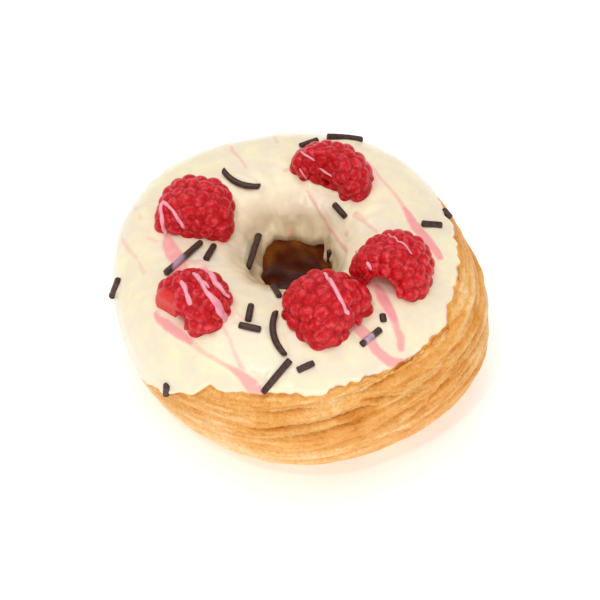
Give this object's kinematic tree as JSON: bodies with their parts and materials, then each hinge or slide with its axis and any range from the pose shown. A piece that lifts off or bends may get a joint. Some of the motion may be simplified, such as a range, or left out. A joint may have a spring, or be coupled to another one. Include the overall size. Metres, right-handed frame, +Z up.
{
  "type": "iced croissant doughnut with raspberries",
  "caption": "Laminated croissant-dough ring with a hole, iced on top and dressed with raspberry halves, chocolate sprinkles and pink drizzle.",
  "frame": {"origin": "middle of the whole footprint, on the surface that the ring stands on", "axes": "+Z up along the axis of the ring's hole; -Y towards the viewer, at the front of the ring"},
  "size_m": [0.0982, 0.0982, 0.0519],
  "materials": {
    "dough": "fried laminated dough, golden brown, slightly oily and rough",
    "icing": "set white sugar icing, creamy, satin to glossy",
    "raspberry": "ripe raspberry, soft gloss with a pale bloom",
    "chocolate": "dark chocolate vermicelli, satin",
    "drizzle": "pink sugar drizzle, glossy and slightly clear"
  },
  "bodies": {
    "root": {"dough": "dough", "icing": "icing", "berry_1": "raspberry", "berry_2": "raspberry", "berry_3": "raspberry", "berry_4": "raspberry", "berry_5": "raspberry"}
  },
  "joints": []
}
